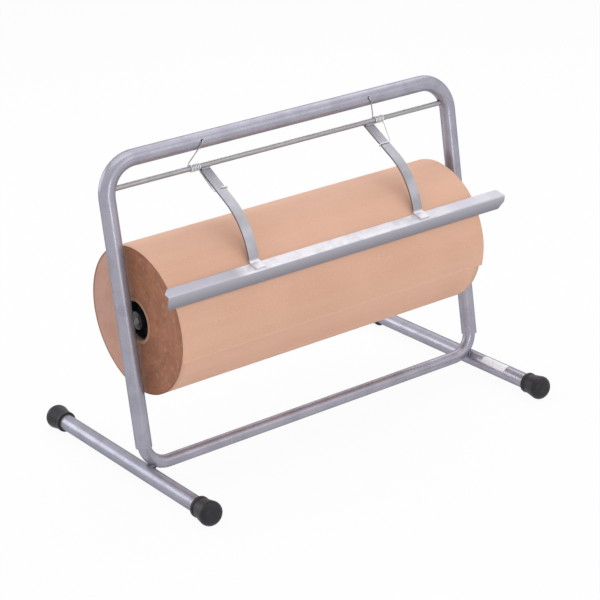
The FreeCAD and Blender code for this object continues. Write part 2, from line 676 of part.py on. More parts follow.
def make_arm_weld(label, across):
    """The weld in the notch between the rod and an arm's top face."""
    body = new_body(label)
    bead = new_sketch(body, label + "_bead", "YZ_Plane")
    add_circle(bead, "-bead_below", "bead_along", "bead_radius")
    pad_both_ways(body, bead, "bead_length")
    rod = new_sketch(body, label + "_rod", "YZ_Plane")
    add_circle(rod, None, None, "rod_radius")
    pocket(body, rod, "bead_length", side="Symmetric")
    strip = new_sketch(body, label + "_strip", "YZ_Plane")
    add_outline(strip, [
        ("-rod_radius", None),
        ("-rod_radius", "hook_along"),
        ("-arm_back", "hook_along"),
        ("-arm_back", None),
    ])
    pocket(body, strip, "bead_length", side="Symmetric")
    place(body, axis=ALONG_X, angle="arm_tilt")
    place(body, across=across, depth="rod_depth", height="rod_height")


def arc_from(start, heading, end):
    """The arc that leaves a point along a heading and ends at another point."""
    chord = end - start
    along = chord * (1 / chord.Length)
    side = (heading - along * heading.dot(along)).normalize()
    sagitta = chord.Length / 2 * math.tan(heading.getAngle(chord) / 2)
    return Part.Arc(start, (start + end) / 2 + side * sagitta, end)


def biarc(start, heading, end, arrival):
    """Two arcs, tangent to each other, from a point and heading to another point and heading."""
    span = end - start
    ahead = span.dot(heading + arrival)
    spread = 2 * (1 - heading.dot(arrival))
    reach = (math.sqrt(ahead**2 + spread * span.dot(span)) - ahead) / spread
    meeting = (start + end + (heading - arrival) * reach) / 2
    return [arc_from(start, heading, meeting), arc_from(end, -arrival, meeting)]


def coil_steps(first_angle, last_angle):
    """How many equal steps of at most a quarter turn a coil takes, and how far each climbs along the rod."""
    steps = math.ceil((first_angle - last_angle) / (math.pi / 2))
    climb = (first_angle - last_angle) / steps * size("spring_pitch") / (2 * math.pi)
    return steps, climb


def coil(first_angle, last_angle, across):
    """Turns about the rod from one angle down to another, square to the rod at both ends.

    At angle a the wire's middle stands at (x, rod + r cos a, rod + r sin a). x grows by the pitch for each
    turn, and by half as much over the first and the last step.
    """
    radius = size("spring_radius")
    steps, climb = coil_steps(first_angle, last_angle)
    step = (first_angle - last_angle) / steps
    axis = Vector(across, size("rod_depth"), size("rod_height"))
    spots = []
    for number in range(steps + 1):
        angle = first_angle - number * step
        gone = climb * min(max(number - 0.5, 0), steps - 1)
        slope = 0 if number in (0, steps) else climb / step
        spot = axis + Vector(gone, radius * math.cos(angle), radius * math.sin(angle))
        heading = Vector(slope, radius * math.sin(angle), -radius * math.cos(angle)).normalize()
        spots.append((spot, heading))
    curves = []
    for (start, heading), (end, arrival) in zip(spots, spots[1:]):
        curves.extend(biarc(start, heading, end, arrival))
    return curves


def least_gap(wire, thickness):
    """The least gap of a wire to itself, on points along its middle line that are some way apart on it."""
    spacing = thickness / 3
    points = wire.discretize(Distance=spacing)
    skip = round(3 * thickness / spacing)
    nearest = min(point.distanceToPoint(other)
                  for number, point in enumerate(points)
                  for other in points[number + skip:])
    return nearest - thickness


def spring_hole_spot(across, forward):
    """A place on the axis of a spring's hole, this far in front of the top bar's middle line."""
    lean = math.radians(size("hoop_lean"))
    rise = size("spring_hole_rise")
    back = rise * math.sin(lean) - forward * math.cos(lean) - size("hoop_setback")
    return Vector(across, back, rise * math.cos(lean) + forward * math.sin(lean))


def tangent_angle(spot, sense):
    """The angle on a coil at which a straight wire to a spot touches it, on one side or the other."""
    back = spot.y - size("rod_depth")
    up = spot.z - size("rod_height")
    return math.atan2(up, back) + sense * math.acos(size("spring_radius") / math.hypot(back, up))


def make_spring(label, hole_across, beside_arm, coil_on_left, hook, hook_bends):
    """One wire: from its hole in the top bar down to the coil, round the rod, and out to a hook on the arm.

    The end of the coil next to the arm stands at `beside_arm`. The hook's corners are places across,
    along the arm and above the rod's axis.
    """
    axis = Vector(0, size("rod_depth"), size("rod_height"))
    radius = size("spring_radius")
    wide_bend = size("spring_wide_bend")
    inside = spring_hole_spot(hole_across, size("leg_bore") - 2 * size("spring_wire"))
    corner = spring_hole_spot(hole_across, size("leg_radius") + size("spring_clear"))
    hook_spots = [arm_spot(along, above) + Vector(across, 0, 0) for across, along, above in hook]
    first_angle = tangent_angle(corner, -1)
    last_angle = tangent_angle(hook_spots[0], 1) - 2 * math.pi * (size("spring_turns") + 1)
    steps, climb = coil_steps(first_angle, last_angle)
    length = climb * (steps - 1)
    left = beside_arm - length if coil_on_left else beside_arm

    leaves = axis + Vector(left, radius * math.cos(first_angle), radius * math.sin(first_angle))
    upwards = Vector(0, -math.sin(first_angle), math.cos(first_angle))
    elbow = leaves + upwards * wide_bend
    reaches = axis + Vector(left + length, radius * math.cos(last_angle), radius * math.sin(last_angle))
    outwards = Vector(0, math.sin(last_angle), -math.cos(last_angle))
    wrist = reaches + outwards * wide_bend

    curves = rounded_run([inside, corner, elbow, leaves], [size("spring_bend"), wide_bend])
    curves += coil(first_angle, last_angle, left)
    if coil_on_left:
        curves += rounded_run([reaches] + hook_spots, hook_bends)
    else:
        curves += rounded_run([reaches, wrist] + hook_spots, [wide_bend] + hook_bends)
    wire = Part.Wire([curve.toShape() for curve in curves])
    thickness = size("spring_wire")
    section = Part.Wire(Part.Circle(inside, corner - inside, thickness / 2).toShape())
    spring = doc.addObject("Part::Feature", label)
    spring.Label = label
    spring.Shape = wire.makePipeShell([section], True, False)
    pieces.append(spring)
    print("%s: wire %.1f mm, least gap to itself %.2f mm, volume %.1f of %.1f mm3" % (
        label, wire.Length, least_gap(wire, thickness), spring.Shape.Volume,
        math.pi * thickness**2 / 4 * wire.Length))


def make_springs():
    """Two springs of the same hand: the left one's hook goes under its arm, the right one's over it."""
    half_wire = size("spring_wire") / 2
    along = size("hook_along")
    over = half_wire + size("hook_gap") - size("rod_radius")
    under = -size("arm_back") - half_wire - size("hook_gap")
    beside = size("arm_half_width") + size("spring_side_gap") + half_wire
    hole = size("spring_hole_half")
    tight = size("spring_bend")

    arm = size("left_arm_place")
    turn = (over - under) / 2
    past = arm + size("arm_half_width") + size("hook_gap") + turn
    hook = [(arm - beside, along, under), (past, along, under), (past, along, over), (arm, along, over)]
    make_spring("left_spring", -hole, arm - beside, True, hook, [tight, turn, turn])

    arm = size("right_arm_place")
    past = arm - beside
    hook = [(arm + beside, along, over), (past, along, over), (past, along, under)]
    make_spring("right_spring", hole, arm + beside, False, hook, [tight, tight])


def check_pieces():
    """Stops the work unless every feature is sound and every piece is a valid solid."""
    for feature in doc.Objects:
        if "Invalid" in feature.State or "Error" in feature.State:
            raise RuntimeError("%s: %s" % (feature.Name, feature.State))
    for piece in pieces:
        shape = piece.Shape
        if shape.isNull() or not shape.isValid() or not shape.Solids:
            raise RuntimeError(piece.Label + ": no valid solid")


make_upper_hoop()
make_hoop("lower_hoop", "low_top_rise", "low_bar_rise", "low_bend", "low_radius", "low_bore")
for side, sign in (("left", "-"), ("right", "")):
    make_foot_tube(side + "_foot_tube", sign + "leg_half")
    make_foot_cap(side + "_front_cap", sign + "leg_half", True)
    make_foot_cap(side + "_rear_cap", sign + "leg_half", False)
    make_foot_weld(side + "_foot_weld", sign)
make_rod("roll_axle", "axle_radius", "axle_length", "axle_chamfer", "roll_depth", "roll_height")
make_roll_tube("core_tube", "core_radius", "core_bore")
make_roll_tube("paper_roll", "paper_radius", "core_radius")
make_outer_sheet()
make_core_hub("left_core_hub", "left_roll_end", False)
make_core_hub("right_core_hub", "right_roll_end", True)
make_rod("pivot_rod", "rod_radius", "rod_length", "rod_chamfer", "rod_depth", "rod_height")
make_cutter_bar()
for side in ("left", "right"):
    make_arm(side + "_arm", side + "_arm_place")
    make_arm_weld(side + "_arm_weld", side + "_arm_place")
make_springs()
doc.recompute()
check_pieces()
os.makedirs("parts", exist_ok=True)
for piece in pieces:
    piece.Shape.exportStep("parts/%s.step" % piece.Label)
    print("%-16s %10.0f mm3" % (piece.Label, piece.Shape.Volume))
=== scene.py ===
"""Looks of the gift wrap paper cutter: a roll of kraft paper in a silver tube stand with a sprung tear bar.

Metres, in the frame of the CAD model: X across the stand, +Y its back, +Z up.
"""

import json
import math

import bmesh
import bpy
import numpy as np
from mathutils import Matrix, Vector

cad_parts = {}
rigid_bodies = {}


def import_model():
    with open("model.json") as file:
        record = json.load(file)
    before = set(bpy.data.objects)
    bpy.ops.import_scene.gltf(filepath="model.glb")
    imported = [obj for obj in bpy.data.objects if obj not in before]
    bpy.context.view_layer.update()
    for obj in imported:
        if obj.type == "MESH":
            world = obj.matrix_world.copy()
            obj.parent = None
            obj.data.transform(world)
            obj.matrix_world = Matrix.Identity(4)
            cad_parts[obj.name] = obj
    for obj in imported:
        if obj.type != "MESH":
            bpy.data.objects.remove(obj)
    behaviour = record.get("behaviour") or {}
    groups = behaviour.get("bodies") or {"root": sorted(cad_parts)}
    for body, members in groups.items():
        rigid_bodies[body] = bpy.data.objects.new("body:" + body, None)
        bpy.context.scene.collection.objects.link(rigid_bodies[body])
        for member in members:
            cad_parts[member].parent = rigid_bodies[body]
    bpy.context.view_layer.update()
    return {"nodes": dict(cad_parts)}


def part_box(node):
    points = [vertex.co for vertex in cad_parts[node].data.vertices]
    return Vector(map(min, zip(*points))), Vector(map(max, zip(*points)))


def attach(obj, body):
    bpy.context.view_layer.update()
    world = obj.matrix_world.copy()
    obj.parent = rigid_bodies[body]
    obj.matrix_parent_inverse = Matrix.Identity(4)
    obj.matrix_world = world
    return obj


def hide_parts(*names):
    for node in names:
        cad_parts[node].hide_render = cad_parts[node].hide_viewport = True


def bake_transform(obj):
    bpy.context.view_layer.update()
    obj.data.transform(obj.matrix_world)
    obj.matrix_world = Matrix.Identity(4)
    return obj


for leftover in list(bpy.data.objects):
    bpy.data.objects.remove(leftover)

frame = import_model()
cad = frame["nodes"]

MM = 0.001

# The roll: its axis, the radii of the wound paper and of the inside of the last sheet, and where that sheet's
# free edge is, from level at the front, and how far it goes round.
roll_low, roll_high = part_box("paper_roll")
core_low, core_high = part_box("core_tube")
ROLL_Y = (roll_low.y + roll_high.y) / 2
ROLL_Z = (roll_low.z + roll_high.z) / 2
ROLL_RADIUS = (roll_high.z - roll_low.z) / 2
CORE_RADIUS = (core_high.z - core_low.z) / 2
SHEET_RADIUS = ROLL_RADIUS + 0.3 * MM
SHEET_EDGE = math.radians(-17)
SHEET_WRAP = math.radians(310)
SHEET_THICKNESS = 0.25 * MM

# The stand: how far its legs lean back, and the label on its right foot, in metres along the tube and in
# degrees round it.
LEG_LEAN = math.radians(7.13)
LABEL_FRONT = -0.142
LABEL_BACK = -0.085
LABEL_TURN = (82, 150)
LABEL_THICKNESS = 0.12 * MM
LABEL_GAP = 0.12 * MM

# The cutter: its rod, its arms, and the top leg of its bar, whose height is given where Y is 0.
rod_low, rod_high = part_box("pivot_rod")
ROD_Y = (rod_low.y + rod_high.y) / 2
ROD_Z = (rod_low.z + rod_high.z) / 2
LEFT_ARM_X = sum(corner.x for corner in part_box("left_arm")) / 2
RIGHT_ARM_X = sum(corner.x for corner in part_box("right_arm")) / 2
bar_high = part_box("cutter_bar")[1]
BAR_TILT = math.radians(12)
BAR_TOP = bar_high.z - bar_high.y * math.tan(BAR_TILT)

# Silver enamel painted pale: a painted highlight on the bar's top leg and on the arms' feet that lie on it.
PAINTED_HIGHLIGHT_SILVER = (0.77, 0.75, 0.785)


def look_along(camera, place, forward, roll):
    """Places a camera so that it looks along a direction, with its right side tipped up by an angle."""
    forward = Vector(forward).normalized()
    right = forward.cross(Vector((0, 0, 1))).normalized()
    up = right.cross(forward)
    tipped = right * math.cos(roll) + up * math.sin(roll)
    top = up * math.cos(roll) - right * math.sin(roll)
    turn = Matrix((tipped, top, -forward)).transposed().to_4x4()
    camera.matrix_world = Matrix.Translation(Vector(place)) @ turn


CAMERA_PLACE = (-1.6523, -2.3079, 1.3396)
CAMERA_FORWARD = (0.54199, 0.75244, -0.37427)
CAMERA_ROLL = math.radians(-2.654)

camera_data = bpy.data.cameras.new("camera")
camera_data.sensor_width = 36
camera_data.lens = 117.4
camera = bpy.data.objects.new("camera", camera_data)
bpy.context.scene.collection.objects.link(camera)
look_along(camera, CAMERA_PLACE, CAMERA_FORWARD, CAMERA_ROLL)
bpy.context.scene.camera = camera
bpy.context.scene.view_settings.view_transform = "Standard"


def soft_box(name, place, target, width, height, watts, colour=(1, 1, 1)):
    """A rectangular lamp that faces a point."""
    lamp = bpy.data.lights.new(name, "AREA")
    lamp.shape = "RECTANGLE"
    lamp.size = width
    lamp.size_y = height
    lamp.energy = watts
    lamp.color = colour
    holder = bpy.data.objects.new(name, lamp)
    bpy.context.scene.collection.objects.link(holder)
    holder.location = place
    holder.rotation_euler = (Vector(target) - Vector(place)).to_track_quat("-Z", "Y").to_euler()
    return holder


MIDDLE = (0, 0, 0.25)
soft_box("top_light", (0.1, 0.2, 2.4), MIDDLE, 3.2, 2.6, 19)
soft_box("front_light", (0.9, -2.3, 1.5), MIDDLE, 1.8, 1.4, 7)
soft_box("back_left_light", (-1.4, 2.2, 0.9), (-0.3, 0, 0.2), 1.3, 1.3, 14, (0.88, 0.95, 1.0))
soft_box("back_right_light", (1.6, 1.4, 2.1), MIDDLE, 1.6, 1.4, 10)
soft_box("front_line_light", (-0.55, -2.6, 0.6), MIDDLE, 0.16, 1.1, 9)
soft_box("top_line_light", (-0.1, -0.35, 2.3), MIDDLE, 1.6, 0.5, 2)


def add(tree, kind, inputs=None, **settings):
    """A shader node with some inputs given by name or number, each a value or another node's socket."""
    made = tree.nodes.new("ShaderNode" + kind)
    for name, value in settings.items():
        setattr(made, name, value)
    for name, value in (inputs or {}).items():
        if isinstance(value, bpy.types.NodeSocket):
            tree.links.new(value, made.inputs[name])
        else:
            made.inputs[name].default_value = value
    return made


def effect(name, numbers, outputs):
    """An empty node group with number inputs (name and start value) and outputs (name and socket kind)."""
    group = bpy.data.node_groups.new(name, "ShaderNodeTree")
    for label, value in numbers.items():
        socket = group.interface.new_socket(label, in_out="INPUT", socket_type="NodeSocketFloat")
        socket.default_value = value
    for label, kind in outputs.items():
        group.interface.new_socket(label, in_out="OUTPUT", socket_type="NodeSocket" + kind)
    return group, group.nodes.new("NodeGroupInput").outputs, group.nodes.new("NodeGroupOutput").inputs


def ramp(tree, value, low, high, start=0.0, end=1.0):
    """value from low..high to start..end, held at both ends."""
    return add(tree, "MapRange", {"Value": value, "From Min": low, "From Max": high, "To Min": start,
                                  "To Max": end}, clamp=True).outputs["Result"]


def calculate(tree, operation, *values):
    """One sum, product or other operation on values or sockets, as a socket."""
    return add(tree, "Math", dict(enumerate(values)), operation=operation).outputs[0]


def per_metre(tree, millimetres):
    """A noise scale from a size in millimetres."""
    return calculate(tree, "DIVIDE", 1 / MM, millimetres)


def object_place(tree):
    return add(tree, "TexCoord").outputs["Object"]


def axes_of(tree, vector):
    """A vector's parts by their names X, Y and Z."""
    return add(tree, "SeparateXYZ", {0: vector}).outputs


def length_of(tree, vector):
    return add(tree, "VectorMath", {0: vector}, operation="LENGTH").outputs["Value"]


def from_axis(tree, y, z):
    """Object coordinates seen from an axis along X through y and z: as they are, and flat across the axis."""
    place = object_place(tree)
    centred = add(tree, "VectorMath", {0: place, 1: (0, -y, -z)}).outputs[0]
    flat = add(tree, "VectorMath", {0: centred, 1: (0, 1, 1)}, operation="MULTIPLY").outputs[0]
    return centred, flat


def make_grain():
    """Fine even roughness: noise of a given size in millimetres, as a height about a half."""
    group, given, made = effect("grain", {"Size": 1.0, "Detail": 2.0}, {"Height": "Float"})
    place = object_place(group)
    scale = per_metre(group, given["Size"])
    noise = add(group, "TexNoise", {"Vector": place, "Scale": scale, "Detail": given["Detail"]})
    group.links.new(noise.outputs[0], made["Height"])
    return group


def make_patches():
    """Slow variation for dust, handling and uneven colour: noise of a given size in millimetres, made into a
    mask that is 0 below one level and 1 above another."""
    group, given, made = effect("patches", {"Size": 60.0, "Low": 0.45, "High": 0.65}, {"Mask": "Float"})
    place = object_place(group)
    scale = per_metre(group, given["Size"])
    noise = add(group, "TexNoise", {"Vector": place, "Scale": scale, "Detail": 5.0, "Distortion": 0.4})
    mask = add(group, "MapRange", {"Value": noise.outputs[0], "From Min": given["Low"],
                                   "From Max": given["High"]}, interpolation_type="SMOOTHSTEP")
    group.links.new(mask.outputs["Result"], made["Mask"])
    return group


def make_streaks():
    """Lines along X, such as drawing marks and paper fibres: noise squeezed across X. Size is the lines'
    width and Long their length, in millimetres."""
    group, given, made = effect("streaks", {"Size": 0.4, "Long": 40.0, "Low": 0.4, "High": 0.6},
                                {"Mask": "Float", "Height": "Float"})
    place = object_place(group)
    fine = per_metre(group, given["Size"])
    coarse = per_metre(group, given["Long"])
    squeeze = add(group, "CombineXYZ", {"X": coarse, "Y": fine, "Z": fine}).outputs[0]
    stretched = add(group, "VectorMath", {0: place, 1: squeeze}, operation="MULTIPLY").outputs[0]
    noise = add(group, "TexNoise", {"Vector": stretched, "Scale": 1.0, "Detail": 3.0})
    mask = add(group, "MapRange", {"Value": noise.outputs[0], "From Min": given["Low"],
                                   "From Max": given["High"]})
    group.links.new(mask.outputs["Result"], made["Mask"])
    group.links.new(noise.outputs[0], made["Height"])
    return group


def make_turns():
    """The turns of the roll as rings about its axis: the distance from the axis in millimetres goes into a
    noise along one line, with a slow drift round the roll so that the rings aren't perfect."""
    group, given, made = effect("turns", {"Ring": 0.5, "Low": 0.35, "High": 0.65},
                                {"Mask": "Float", "Radius": "Float"})
    _, flat = from_axis(group, ROLL_Y, ROLL_Z)
    far = calculate(group, "MULTIPLY", length_of(group, flat), 1 / MM)
    drift = add(group, "TexNoise", {"Vector": flat, "Scale": 22.0, "Detail": 2.0}).outputs[0]
    wound = calculate(group, "MULTIPLY_ADD", drift, 3.5, far)
    ring = calculate(group, "DIVIDE", wound, given["Ring"])
    line = add(group, "TexNoise", {"W": ring, "Scale": 1.0, "Detail": 4.0}, noise_dimensions="1D").outputs[0]
    mask = add(group, "MapRange", {"Value": line, "From Min": given["Low"], "From Max": given["High"]})
    group.links.new(mask.outputs["Result"], made["Mask"])
    group.links.new(far, made["Radius"])
    return group


def make_lit_back_mask():
    """A mask on the roll's ends, 0 on the front half and 1 on the back half, with a soft border along the
    leaning legs, behind the axis: painted light on the back half and painted shade from the leg on the front
    half."""
    group, _, made = effect("lit_back_mask", {}, {"Mask": "Float"})
    place = axes_of(group, object_place(group))
    lean = math.tan(LEG_LEAN)
    back = calculate(group, "MULTIPLY_ADD", place["Z"], -lean, place["Y"])
    middle = ROLL_Y - lean * ROLL_Z
    mask = add(group, "MapRange", {"Value": back, "From Min": middle + 12 * MM, "From Max": middle + 48 * MM},
               interpolation_type="SMOOTHSTEP")
    group.links.new(mask.outputs["Result"], made["Mask"])
    return group


LIT_BACK_MASK = make_lit_back_mask()
GRAIN = make_grain()
PATCHES = make_patches()
STREAKS = make_streaks()
TURNS = make_turns()


def use(tree, group, **numbers):
    """Places a shared effect in a material with its own numbers."""
    placed = tree.nodes.new("ShaderNodeGroup")
    placed.node_tree = group
    for name, value in numbers.items():
        placed.inputs[name].default_value = value
    return placed.outputs


def blend_colours(tree, mask, first, second):
    """One colour where the mask is 0 and another where it is 1; each is a colour or a socket."""
    mixed = add(tree, "Mix", {0: mask}, data_type="RGBA")
    for slot, colour in ((6, first), (7, second)):
        if isinstance(colour, bpy.types.NodeSocket):
            tree.links.new(colour, mixed.inputs[slot])
        else:
            mixed.inputs[slot].default_value = (*colour, 1)
    return mixed.outputs[2]


def new_finish(name, colour, roughness, bumps=(), **plain):
    """A material: a colour and a roughness, each a value or a socket made by a function of the tree, bumps
    as (height function, strength, depth in millimetres), and plain values for the shader's other sockets."""
    material = bpy.data.materials.new(name)
    material.use_nodes = True
    tree = material.node_tree
    shader = tree.nodes["Principled BSDF"]
    for label, value in plain.items():
        shader.inputs[label.replace("_", " ")].default_value = value
    for label, value in (("Base Color", colour), ("Roughness", roughness)):
        if callable(value):
            tree.links.new(value(tree), shader.inputs[label])
        else:
            shader.inputs[label].default_value = (*value, 1) if label == "Base Color" else value
    normal = None
    for height, strength, depth in bumps:
        bump = add(tree, "Bump", {"Strength": strength, "Distance": depth * MM, "Height": height(tree)})
        if normal:
            tree.links.new(normal, bump.inputs["Normal"])
        normal = bump.outputs["Normal"]
    if normal:
        tree.links.new(normal, shader.inputs["Normal"])
    return material


def height_over_bar(tree):
    """How high a point lies along Z when the tilt of the bar's top leg is taken off, so that the upper side of
    that leg is at BAR_TOP throughout, and its place across."""
    axes = axes_of(tree, object_place(tree))
    return calculate(tree, "MULTIPLY_ADD", axes["Y"], -math.tan(BAR_TILT), axes["Z"]), axes["X"]


def enamel_body(tree, light, dark):
    """Sprayed silver enamel: slow patches of a darker shade and fine bright flakes."""
    slow = use(tree, PATCHES, Size=32.0, Low=0.4, High=0.65)["Mask"]
    flake = ramp(tree, use(tree, GRAIN, Size=0.25, Detail=1.0)["Height"], 0.45, 0.8, 0.0, 0.2)
    body = blend_colours(tree, slow, light, dark)
    return blend_colours(tree, flake, body, tuple(min(1, c * 1.25) for c in light))


def enamel_roughness(rough):
    """A roughness that is a little higher in slow patches."""
    def roughness(tree):
        return ramp(tree, use(tree, PATCHES, Size=18.0, Low=0.3, High=0.8)["Mask"], 0, 1, rough, rough + 0.1)
    return roughness


def orange_peel(tree):
    return use(tree, GRAIN, Size=1.6, Detail=1.0)["Height"]


ENAMEL = {"Metallic": 0.5, "Specular_Tint": (0.15, 0.15, 0.2, 1), "Specular_IOR_Level": 0.3}


def stand_enamel(light, dark):
    """The stand's enamel on its tubes."""
    def colour(tree):
        return enamel_body(tree, light, dark)

    return new_finish("stand_silver", colour, enamel_roughness(0.26), [(orange_peel, 0.2, 0.05)], **ENAMEL)


def arm_enamel(light, dark):
    """The arms' enamel: painted shade on the strips' cut edges, and a painted highlight on the feet on the
    bar.
    """
    def colour(tree):
        body = enamel_body(tree, light, dark)
        normal = axes_of(tree, add(tree, "TexCoord").outputs["Normal"])
        sideways = calculate(tree, "ABSOLUTE", normal["X"])
        # Painted shade: the strips' side faces, picked by their normal, are painted dark.
        shaded_edges = blend_colours(tree, ramp(tree, sideways, 0.55, 0.85, 0, 0.85), body, (0.19, 0.15, 0.155))
        # Painted highlight: the feet that lie on the bar's top leg are painted pale.
        height, _ = height_over_bar(tree)
        foot = ramp(tree, height, BAR_TOP + 7 * MM, BAR_TOP + 3.6 * MM)
        return blend_colours(tree, foot, shaded_edges, PAINTED_HIGHLIGHT_SILVER)

    return new_finish("cutter_silver", colour, enamel_roughness(0.30), [(orange_peel, 0.2, 0.05)], **ENAMEL)


def bar_enamel(light, dark):
    """The tear bar's enamel: the front leg is painted darker down to the tearing edge, a painted shade, and
    the top leg is painted pale in patches from the left arm to a little past the right one, a painted
    highlight."""
    def colour(tree):
        height, across = height_over_bar(tree)
        # Painted shade: the front leg is painted darker towards the tearing edge.
        body = blend_colours(tree, ramp(tree, height, BAR_TOP - 20 * MM, BAR_TOP - 3 * MM), dark, light)
        # Painted highlight on the top leg: pale in patches, over the span given by held.
        top_leg = ramp(tree, height, BAR_TOP - 2.4 * MM, BAR_TOP - 1.4 * MM)
        near = ramp(tree, across, LEFT_ARM_X - 42 * MM, LEFT_ARM_X - 24 * MM, 0.1, 1.0)
        far = ramp(tree, across, RIGHT_ARM_X + 15 * MM, RIGHT_ARM_X + 65 * MM, 1.0, 0.35)
        held = calculate(tree, "MULTIPLY", near, far)
        patches = ramp(tree, use(tree, PATCHES, Size=24.0, Low=0.35, High=0.6)["Mask"], 0, 1, 0.6, 1.0)
        wear_and_highlight = calculate(tree, "MULTIPLY", calculate(tree, "MULTIPLY", top_leg, held), patches)
        return blend_colours(tree, wear_and_highlight, body, PAINTED_HIGHLIGHT_SILVER)

    return new_finish("bar_silver", colour, 0.42, [(orange_peel, 0.35, 0.05)], **ENAMEL)


def drawn_lines(tree):
    return use(tree, STREAKS, Size=0.3, Long=25.0)["Height"]


def drawn_steel(name, light, dark, rough):
    """Plated round stock: lines along X from drawing, and dull patches where it is handled."""
    def colour(tree):
        lines = use(tree, STREAKS, Size=0.5, Long=30.0)["Mask"]
        return blend_colours(tree, lines, light, dark)

    def roughness(tree):
        return ramp(tree, use(tree, PATCHES, Size=12.0)["Mask"], 0, 1, rough, rough + 0.15)

    return new_finish(name, colour, roughness, [(drawn_lines, 0.2, 0.03)], Metallic=0.6)


def spring_colour(tree):
    """Plated wire: painted near white at the coil round the rod, a painted highlight, bright at the hooks, and
    duller between them, apart from the right spring's wire below the rod."""
    centred, flat = from_axis(tree, ROD_Y, ROD_Z)
    away = length_of(tree, flat)
    axes = axes_of(tree, centred)
    above = ramp(tree, axes["Z"], -2 * MM, 2 * MM)
    left = ramp(tree, axes["X"], 10 * MM, -10 * MM)
    dull = calculate(tree, "MAXIMUM", above, left)
    wire = calculate(tree, "MULTIPLY", dull, ramp(tree, away, 7 * MM, 9 * MM))
    hook = ramp(tree, away, 40 * MM, 44 * MM)
    lines = use(tree, STREAKS, Size=0.5, Long=30.0)["Mask"]
    # Painted highlight: the coil is painted near white.
    coil = blend_colours(tree, lines, (0.90, 0.90, 0.93), (0.72, 0.72, 0.75))
    pulled = blend_colours(tree, wire, coil, (0.40, 0.40, 0.43))
    return blend_colours(tree, hook, pulled, (0.80, 0.80, 0.82))


def kraft_colour(tree):
    """Kraft paper: slow tone changes, broad bands round the roll, short darker fibres, a few specks, and a
    painted highlight on the crinkles.
    """
    slow = use(tree, PATCHES, Size=120.0, Low=0.3, High=0.75)["Mask"]
    bands = use(tree, STREAKS, Size=25.0, Long=400.0, Low=0.4, High=0.65)["Mask"]
    fibres = ramp(tree, use(tree, STREAKS, Size=0.5, Long=2.0, Low=0.52, High=0.75)["Mask"], 0, 1, 0, 0.3)
    specks = ramp(tree, use(tree, GRAIN, Size=1.1, Detail=1.0)["Height"], 0.72, 0.8, 0, 0.5)
    crinkles = ramp(tree, use(tree, GRAIN, Size=2.6, Detail=4.0)["Height"], 0.6, 0.72, 0, 0.55)
    body = blend_colours(tree, slow, (0.76, 0.44, 0.30), (0.70, 0.395, 0.265))
    banded = blend_colours(tree, ramp(tree, bands, 0, 1, 0, 0.35), body, (0.80, 0.485, 0.345))
    # Painted highlight: the crinkles are painted paler.
    lit = blend_colours(tree, crinkles, banded, (0.88, 0.57, 0.43))
    fibred = blend_colours(tree, fibres, lit, (0.60, 0.335, 0.225))
    return blend_colours(tree, specks, fibred, (0.46, 0.25, 0.16))


def kraft_fibres(tree):
    return use(tree, STREAKS, Size=0.3, Long=2.5)["Height"]


def kraft_waves(tree):
    return use(tree, STREAKS, Size=14.0, Long=160.0)["Height"]


def kraft_crinkles(tree):
    return use(tree, GRAIN, Size=5.0, Detail=4.0)["Height"]


def cut_colour(tree):
    """The roll's end: fine turns, broader rings of tone, rubbed spots and a dark rim. The half that faces back
    is painted paler with fainter turns, a painted light, and the front half is painted darker brown with
    stronger turns, a painted shadow of the leg."""
    fine = use(tree, TURNS, Ring=0.6)["Mask"]
    broad = use(tree, TURNS, Ring=6.0, Low=0.3, High=0.7)["Mask"]
    marks = use(tree, PATCHES, Size=26.0, Low=0.4, High=0.62)["Mask"]
    wear_and_highlight = use(tree, PATCHES, Size=7.0, Low=0.5, High=0.75)["Mask"]
    body = blend_colours(tree, ramp(tree, broad, 0, 1, 0, 0.6), (0.56, 0.23, 0.115), (0.43, 0.165, 0.08))
    ringed = blend_colours(tree, ramp(tree, fine, 0, 1, 0, 0.6), body, (0.24, 0.095, 0.055))
    shaded_front_half = blend_colours(tree, ramp(tree, marks, 0, 1, 0, 0.5), ringed, (0.27, 0.105, 0.055))
    pale = blend_colours(tree, ramp(tree, marks, 0, 1, 0, 0.5), (0.64, 0.35, 0.26), (0.54, 0.285, 0.20))
    lit_back_half = blend_colours(tree, ramp(tree, fine, 0, 1, 0, 0.2), pale, (0.40, 0.20, 0.13))
    # Painted light and shadow: the back half is painted lit and the front half painted in the leg's shadow.
    halves = blend_colours(tree, use(tree, LIT_BACK_MASK)["Mask"], shaded_front_half, lit_back_half)
    rubbed = blend_colours(tree, ramp(tree, wear_and_highlight, 0, 1, 0, 0.3), halves, (0.66, 0.38, 0.28))
    rim = use(tree, TURNS)["Radius"]
    edge = ramp(tree, rim, ROLL_RADIUS / MM - 2.0, ROLL_RADIUS / MM - 0.8, 0, 0.8)
    return blend_colours(tree, edge, rubbed, (0.20, 0.09, 0.055))


def cut_rings(tree):
    return use(tree, TURNS, Ring=0.5)["Mask"]


def torn_fibres_and_highlight(tree):
    """The free edge, painted pale: torn fibres pulled out by the tear bar, and a painted highlight along the
    edge.
    """
    fibres = use(tree, GRAIN, Size=0.8, Detail=3.0)["Height"]
    return blend_colours(tree, ramp(tree, fibres, 0.4, 0.65), (0.88, 0.60, 0.45), (0.66, 0.38, 0.26))


def card_colour(tree):
    """Cardboard, wound from grey-brown plies."""
    plies = use(tree, TURNS, Ring=0.7)["Mask"]
    return blend_colours(tree, plies, (0.58, 0.34, 0.22), (0.44, 0.25, 0.155))


